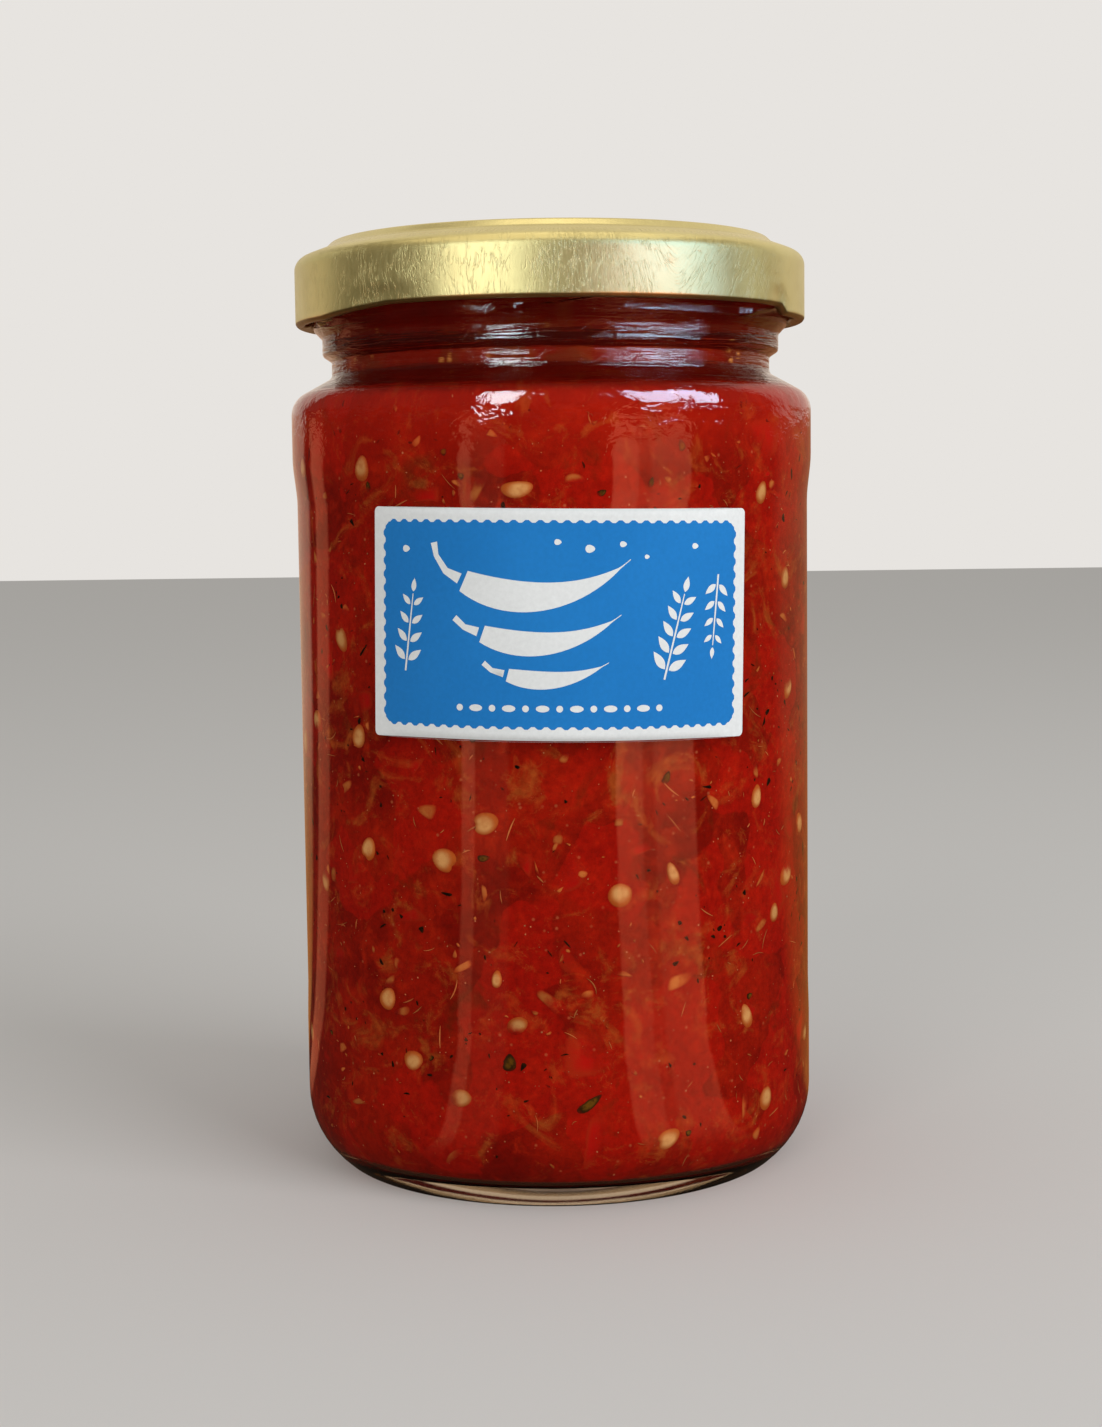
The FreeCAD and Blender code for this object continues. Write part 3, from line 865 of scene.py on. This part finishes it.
def lid_material():
    material = new_material("gold_lacquer")
    place = object_place()
    around, angle, away, _ = round_place(place, 0.0425)
    along, _, up = node("SeparateXYZ", {0: around}).outputs
    side = step_up(away, 0.0385, 0.0415)
    # short scratches: upright on one half of the skirt, leaning on the other
    lean = times(step_up(angle, -0.15, 0.5), times(up, -0.6))
    wander = fuzz(place, 210.0, 2.0)
    slid = plus(plus(along, lean), times(wander, 0.0022))
    skirt = node("CombineXYZ", {0: slid, 1: 0.0, 2: times(up, 0.19)}).outputs[0]
    brushed = fuzz(skirt, 1900.0, 3.0, 0.65)
    scored = fuzz(skirt, 1150.0, 2.0, 0.6)
    line = calc("ABSOLUTE", calc("SUBTRACT", scored, 0.5))
    line = step_down(line, 0.004, 0.030)
    speck = fuzz(place, 1300.0, 2.0, 0.6)
    wave = fuzz(place, 110.0, 2.0, 0.5)
    cut = times(step_up(fuzz(place, 330.0, 2.0), 0.36, 0.54), side)
    tall = times(line, times(cut, -0.30))
    tall = plus(tall, times(brushed, plus(times(side, 0.24), 0.05)))
    tall = plus(tall, times(speck, 0.16))
    tall = plus(tall, times(wave, 1.1))
    relief = bumps(0.00006, tall)
    # the lacquer's tone drifts a little
    tone = plus(times(fuzz(place, 60.0, 3.0), 0.7), times(brushed, 0.3))
    light = step_up(tone, 0.35, 0.65)
    ground = blend_colour(light, (0.52, 0.415, 0.115), (0.60, 0.485, 0.15))
    sheen = blend_colour(light, (0.72, 0.68, 0.335), (0.78, 0.75, 0.39))
    # painted shade: where the curl below the skirt faces down, its matt and metal colours are painted
    # darker
    facing = node("SeparateXYZ", {0: node("TexCoord").outputs["Normal"]}).outputs[2]
    under = step_up(times(facing, -1.0), 0.12, 0.45)
    ground = blend_colour(under, ground, (0.16, 0.10, 0.025))
    sheen = blend_colour(under, sheen, (0.22, 0.17, 0.07))
    rough = spread(brushed, (0.3, 0.7), (0.28, 0.40))
    rough = times(rough, plus(0.62, times(side, 0.38)))
    matt = node("BsdfDiffuse", {"Color": ground, "Normal": relief})
    gold = {"Base Color": sheen, "Metallic": 1.0, "Roughness": rough, "Normal": relief}
    metal = node("BsdfPrincipled", gold)
    output(mixed(0.70, matt.outputs[0], metal.outputs[0]))
    return material


def make_lid():
    def skirt(a, b):
        return min(a[0], b[0]) > LID_R - 0.6 and min(a[1], b[1]) < LID_FOOT + 6.5

    outline = graded(rounded(PRESSED, 9.0), 0.5, skirt)
    lid = revolve("lid_shell", outline[::-1], 360, lugs)
    return finish_piece(lid, lid_material(), "gold_lacquer", "lid")


# ---------------------------------------------------------------- label

LABEL_W = 57.5  # seen from the front
LABEL_H = 35.6
LABEL_UP = PANEL_TOP - 1.7 - LABEL_H / 2  # its middle
LABEL_SIDE = 0.9
LABEL_TILT = math.radians(1.0)
LABEL_BORDER = 1.9
LABEL_THICK = 0.165
PAPER = PANEL + 0.17
ARC = PAPER * math.asin(LABEL_W / 2 / PAPER)  # half its width along the paper


def inside(point, loop):
    x, y = point
    odd = False
    for (ax, ay), (bx, by) in zip(loop, loop[1:] + loop[:1]):
        if (ay > y) != (by > y) and x < (bx - ax) * (y - ay) / (by - ay) + ax:
            odd = not odd
    return odd


def to_label(x, y, lift):
    """From a place on the flat paper, in mm from its middle, to the jar."""
    chord = PAPER * math.sin(x / PAPER)
    across = LABEL_SIDE + chord * math.cos(LABEL_TILT) + y * math.sin(LABEL_TILT)
    height = LABEL_UP + y * math.cos(LABEL_TILT) - chord * math.sin(LABEL_TILT)
    turn = math.asin(across / PAPER)
    radius = PAPER + lift
    return (radius * math.sin(turn) * MM, -radius * math.cos(turn) * MM, height * MM)


def printed(name, loops, lift, material, grid=1.1):
    """Flat shapes, each a loop of points, laid on the label's curve as one mesh."""
    verts, faces = [], []
    for loop in loops:
        points = [Vector(p) for p in loop]

        def clear(x, y):
            apart = (math.hypot(x - a, y - b) for a, b in loop)
            return inside((x, y), loop) and min(apart) > grid * 0.25

        edges = [(k, (k + 1) % len(loop)) for k in range(len(loop))]
        xs, ys = [p[0] for p in loop], [p[1] for p in loop]
        x = math.floor(min(xs) / grid) * grid
        while x < max(xs):
            y = math.floor(min(ys) / grid) * grid
            while y < max(ys):
                if clear(x, y):
                    points.append(Vector((x, y)))
                y += grid
            x += grid
        done = geometry.delaunay_2d_cdt(points, edges, [], 1, 1e-5)
        base = len(verts)
        verts += [to_label(p.x, p.y, lift) for p in done[0]]
        faces += [tuple(base + i for i in face) for face in done[2]]
    finish_piece(mesh_object(name, verts, faces), material, "label_paper", "label")


def rounded_box(half_w, half_h, radius, count=5):
    loop = []
    for cx, cy, start in ((1, 1, 0), (-1, 1, 90), (-1, -1, 180), (1, -1, 270)):
        for k in range(count + 1):
            a = math.radians(start + 90 * k / count)
            x, y = cx * (half_w - radius), cy * (half_h - radius)
            loop.append((x + radius * math.cos(a), y + radius * math.sin(a)))
    return loop


def stamp_edge(half_w, half_h, pitch=2.05, depth=0.42):
    """A field whose edge has small round bites, as a stamp has."""
    loop = []
    corner = 1.1
    runs = (
        ((half_w, -half_h + corner), (half_w, half_h - corner), (-1, 0)),
        ((half_w - corner, half_h), (-half_w + corner, half_h), (0, -1)),
        ((-half_w, half_h - corner), (-half_w, -half_h + corner), (1, 0)),
        ((-half_w + corner, -half_h), (half_w - corner, -half_h), (0, 1)),
    )
    for (ax, ay), (bx, by), (nx, ny) in runs:
        length = math.hypot(bx - ax, by - ay)
        teeth = round(length / pitch)
        steps = teeth * 8
        for k in range(steps + 1):
            share = k / steps
            wave = math.cos(math.tau * teeth * share)
            bite = depth * float(ease(wave, -0.25, 0.25))
            loop.append((ax + (bx - ax) * share + nx * bite, ay + (by - ay) * share + ny * bite))
    return loop


def ribbon(points, widths):
    """A loop round a line whose half widths are given."""
    left, right = [], []
    for i, (x, y) in enumerate(points):
        a, b = points[max(0, i - 1)], points[min(len(points) - 1, i + 1)]
        dx, dy = b[0] - a[0], b[1] - a[1]
        length = math.hypot(dx, dy)
        across, up = dy / length * widths[i], dx / length * widths[i]
        left.append((x - across, y + up))
        right.append((x + across, y - up))
    return left + right[::-1]


def leaf(x, y, length, width, turn):
    shares = [k / 8 for k in range(9)]
    edge = [(length * s, width / 2 * math.sin(math.pi * s**0.8)) for s in shares]
    edge += [(px, -py) for px, py in edge[7:0:-1]]
    c, t = math.cos(turn), math.sin(turn)
    return [(x + px * c - py * t, y + px * t + py * c) for px, py in edge]


def pepper(x, y, length, turn, bend, fat):
    points, widths = [], []
    px = py = 0.0
    heading = turn
    for k in range(25):
        s = k / 24
        points.append((x + px, y + py))
        swell = math.sin(math.pi * min(1, 0.16 + s * 0.9)) ** 0.75
        widths.append(max(0.06, fat * swell * (1 - 0.55 * s)))
        px += math.cos(heading) * length / 24
        py += math.sin(heading) * length / 24
        heading += bend / 24
    return ribbon(points, widths)


def sprig(x, y, length, turn, pairs, size):
    loops = []
    c, t = math.cos(turn), math.sin(turn)
    stem = [(x + c * length * s, y + t * length * s) for s in (0, 0.25, 0.5, 0.75, 1)]
    loops.append(ribbon(stem, [0.16, 0.15, 0.14, 0.12, 0.08]))
    for k in range(pairs):
        s = (k + 0.6) / (pairs + 0.2)
        bx, by = x + c * length * s, y + t * length * s
        grow = size * (1 - 0.35 * s)
        for side in (1, -1):
            root = (bx - t * 0.34 * side, by + c * 0.34 * side)
            loops.append(leaf(*root, grow, grow * 0.42, turn + side * 0.85))
    loops.append(leaf(x + c * (length + 0.3), y + t * (length + 0.3), size * 0.7, size * 0.3, turn))
    return loops


def motif():
    """Three peppers with their stalks, sprigs, loose seeds and a row of dots, in mm from the middle."""
    loops = [
        pepper(-15.0, 6.6, 27.5, -0.42, 1.15, 2.9),
        pepper(-12.0, -1.4, 22.5, -0.34, 1.0, 2.3),
        pepper(-8.0, -7.6, 16.0, -0.26, 0.8, 1.7),
        ribbon([(-15.7, 6.95), (-18.0, 8.1), (-19.6, 10.4), (-20.0, 12.4)], [0.85, 0.55, 0.42, 0.55]),
        ribbon([(-12.7, -1.1), (-14.9, -0.4), (-16.5, 1.0)], [0.7, 0.46, 0.5]),
        ribbon([(-8.6, -7.4), (-10.5, -6.9), (-11.8, -5.8)], [0.55, 0.38, 0.42]),
    ]
    loops += sprig(16.4, -8.4, 13.5, 1.32, 5, 3.5)
    loops += sprig(-25.2, -7.4, 12.0, 1.45, 4, 3.0)
    loops += sprig(26.0, 7.6, 11.0, -1.66, 4, 2.6)
    seeds = [(4.5, 11.6, 1.5), (9.6, 12.3, 1.1), (-0.4, 12.6, 1.1)]
    seeds += [(21.6, 12.0, 1.1), (-25.0, 11.4, 1.3), (13.4, 10.4, 0.8)]
    for x, y, size in seeds:
        loops.append([(px + x, py + y) for px, py in egg(size, size * 0.8, 14, 0.2)])
    for k in range(13):
        long = 2.1 if k % 2 else 1.05
        loops.append([(px - 15.6 + 2.6 * k, py - 12.7) for px, py in egg(long, 1.05, 14, 0.0)])
    return loops


def paper_material(name, colour, second):
    material = new_material(name)
    place = object_place()
    fibre = fuzz(place, 1400.0, 3.0, 0.6)
    cloud = fuzz(place, 45.0, 2.0)
    own = blend_colour(step_up(cloud, 0.3, 0.7), colour, second)
    own = scaled(own, spread(fibre, (0.3, 0.7), (0.96, 1.04)))
    output(coated(own, fibre, 0.000008, 0.5, 0.12))
    return material


def make_label():
    white = paper_material("label_white", (0.82, 0.845, 0.85), (0.86, 0.885, 0.89))
    blue = paper_material("label_blue", (0.014, 0.206, 0.59), (0.017, 0.224, 0.63))
    outline = rounded_box(ARC, LABEL_H / 2, 0.8)
    printed("label_sheet", [outline], 0.0, white)
    # the cut edge of the paper, down to the glass
    rim = spaced(np.array(outline + outline[:1]), 1.0)[:-1]
    verts = [to_label(x, y, lift) for lift in (0.0, -LABEL_THICK) for x, y in rim]
    count = len(rim)
    faces = [(k, (k + 1) % count, count + (k + 1) % count, count + k) for k in range(count)]
    finish_piece(mesh_object("label_edge", verts, faces), white, "label_paper", "label")
    field = stamp_edge(ARC - LABEL_BORDER, LABEL_H / 2 - LABEL_BORDER)
    printed("label_field", [field], 0.012, blue)
    printed("label_motif", motif(), 0.030, white, 1.3)


# ---------------------------------------------------------------- stage, light and camera


def make_floor():
    """A pale floor, which gloss sees as the table and the room beyond it."""
    material = new_material("pale_floor")
    place = node("NewGeometry").outputs["Position"]
    _, angle, away, _ = round_place(place, 1.0)
    plain = node("BsdfDiffuse", {"Color": (0.74, 0.725, 0.70, 1)})
    glow = node("Emission", {"Color": room(angle, away, None), "Strength": 1.0})
    gloss = node("LightPath").outputs["Is Glossy Ray"]
    output(mixed(gloss, plain.outputs[0], glow.outputs[0]))
    corners = [(-3, -3, 0), (3, -3, 0), (3, 3, 0), (-3, 3, 0)]
    floor = mesh_object("floor", corners, [(0, 1, 2, 3)], False)
    floor.data.materials.append(material)


# Tall soft lights that gloss shows, in degrees round the jar.
STRIPS = (
    # from, to, softness, strength
    (-131.0, -118.5, 1.5, 0.36),
    (-40.0, -34.5, 0.8, 0.85),
    (-34.5, -20.0, 1.5, 0.22),
    (25.4, 36.8, 0.7, 1.0),
    (36.8, 42.0, 0.7, 0.50),
    (42.0, 61.0, 0.9, 0.85),
)
GLARE = (2.5, 0.80, 0.40)
PALE_WALL = (0.85, 0.72, 0.62)
DARK_ROOM = (0.030, 0.020, 0.014)


def room(angle, away, lift):
    """What gloss shows of the room: dark ahead, with tall soft lights and their glare, and pale behind.

    The floor gives the distance from the jar, away, and the sky gives how steeply it looks up, lift.
    """
    turn = times(angle, 180 / math.pi)
    strips = 0.0
    for low, high, soft, strength in STRIPS:
        rise = step_up(turn, low - soft, low + soft)
        fall = step_down(turn, high - soft, high + soft)
        strips = plus(strips, times(times(rise, fall), strength))
    if lift is not None:
        level = step_down(lift, 0.030, 0.060)
        glare = scaled(GLARE, times(strips, level))
        back = blend_colour(level, PALE_WALL, (0.66, 0.42, 0.30))
        side = blend_colour(level, PALE_WALL, (0.36, 0.17, 0.085))
        ahead = blend_colour(step_up(lift, 0.04, 0.16), DARK_ROOM, (0.115, 0.080, 0.062))
    else:
        far = step_up(away, 0.15, 1.0)
        near = step_up(away, 0.046, 0.100)
        tone = blend_colour(far, (1.65, 0.43, 0.20), GLARE)
        glare = scaled(tone, times(strips, near))
        back = blend_colour(far, (0.42, 0.18, 0.05), (0.66, 0.42, 0.28))
        side = blend_colour(far, (0.32, 0.12, 0.03), (0.36, 0.16, 0.075))
        ahead = DARK_ROOM
    right = step_up(turn, 110.0, 124.0)
    left = step_down(turn, -142.0, -137.0)
    shown = blend_colour(right, ahead, side)
    shown = blend_colour(left, shown, back)
    return node("VectorMath", {0: shown, 1: glare}, operation="ADD").outputs[0]


def make_world():
    world = begin(bpy.data.worlds.new("soft_room"))
    bpy.context.scene.world = world
    split = node("SeparateXYZ", {0: node("TexCoord").outputs["Generated"]})
    angle = calc("ARCTAN2", split.outputs[0], times(split.outputs[1], -1.0))
    path = node("LightPath")
    seen = blend_colour(path.outputs["Is Diffuse Ray"], (0.80, 0.775, 0.745), (0.50, 0.492, 0.48))
    mirrored = room(angle, None, split.outputs[2])
    colour = blend_colour(path.outputs["Is Glossy Ray"], seen, mirrored)
    shine = node("Background", {"Color": colour, "Strength": 1.0})
    node("OutputWorld", {"Surface": shine.outputs[0]})
    world.cycles.sampling_method = "NONE"


LAMPS_FROM = 1.2  # metres
LAMPS_AIM = Vector((0, 0, 0.12))


def lamp(name, azimuth, elevation, wide, tall, radiance, colour, gleam=None):
    """A soft rectangular light, its angles as the jar sees them; a gleam shows on one piece alone."""
    a, e = math.radians(azimuth), math.radians(elevation)
    way = Vector((math.sin(a) * math.cos(e), -math.cos(a) * math.cos(e), math.sin(e)))
    data = bpy.data.lights.new(name, "AREA")
    data.shape = "RECTANGLE"
    data.size = 2 * LAMPS_FROM * math.tan(math.radians(wide / 2))
    data.size_y = 2 * LAMPS_FROM * math.tan(math.radians(tall / 2))
    data.energy = radiance * math.pi * data.size * data.size_y
    data.color = colour
    obj = bpy.data.objects.new(name, data)
    obj.location = LAMPS_AIM + way * LAMPS_FROM
    obj.rotation_mode = "QUATERNION"
    obj.rotation_quaternion = (-way).to_track_quat("-Z", "Y")
    obj.visible_camera = False
    obj.visible_transmission = False
    bpy.context.scene.collection.objects.link(obj)
    if gleam is None:
        obj.visible_glossy = False
        return
    obj.visible_diffuse = False
    target = bpy.data.collections.new(name)
    target.objects.link(gleam)
    obj.light_linking.receiver_collection = target


def make_lights(glass, lid):
    cool, plain, warm = (0.60, 0.74, 1.0), (1.0, 0.985, 0.93), (1.0, 0.84, 0.66)
    lamp("key", 50.0, 24.0, 36.0, 34.0, 3.8, (0.95, 0.97, 1.0))
    lamp("fill", -24.0, 26.0, 20.0, 30.0, 1.9, (1.0, 0.97, 0.93))
    lamp("pane_left", -23.0, 32.0, 13.0, 49.0, 20.0, (0.88, 0.93, 1.0), glass)
    lamp("pane_right_a", 48.0, 28.0, 20.0, 38.0, 19.0, cool, glass)
    lamp("pane_right_b", 71.0, 30.0, 16.0, 40.0, 19.0, cool, glass)
    lamp("lid_left", -29.0, 8.0, 39.0, 50.0, 2.3, (0.98, 1.0, 1.0), lid)
    lamp("lid_far_left", -123.0, 8.0, 26.0, 50.0, 0.6, (1.0, 0.90, 0.72), lid)
    lamp("lid_right", 53.0, 8.0, 46.0, 50.0, 2.9, (0.36, 0.58, 1.0), lid)
    lamp("lid_far_right", 99.0, 8.0, 7.0, 50.0, 1.2, plain, lid)
    lamp("lid_top", 0.0, 74.0, 80.0, 60.0, 1.2, warm, lid)


def make_camera():
    """The camera fitted to the jar's outline in the photo."""
    data = bpy.data.cameras.new("camera")
    camera = bpy.data.objects.new("camera", data)
    bpy.context.scene.collection.objects.link(camera)
    data.sensor_width = 36.0
    data.lens = LENS
    camera.location = EYE
    down = math.radians(LOOKS_DOWN)
    look = Vector((0, math.cos(down), -math.sin(down))).to_track_quat("-Z", "Y")
    camera.rotation_mode = "QUATERNION"
    camera.rotation_quaternion = look @ Quaternion((0, 0, 1), math.radians(ROLL))
    bpy.context.scene.camera = camera


def settings():
    view, cycles = bpy.context.scene.view_settings, bpy.context.scene.cycles
    view.view_transform = "Standard"
    view.look = "None"
    view.exposure = 0.0
    view.gamma = 1.0
    cycles.max_bounces = 10
    cycles.transmission_bounces = 8
    cycles.transparent_max_bounces = 8
    cycles.glossy_bounces = 3
    cycles.diffuse_bounces = 2
    cycles.sample_clamp_indirect = 4.0
    cycles.blur_glossy = 0.3


settings()
make_camera()
make_world()
make_floor()
body_glass = make_glass()
make_adjika()
lid_shell = make_lid()
make_label()
make_lights(body_glass, lid_shell)
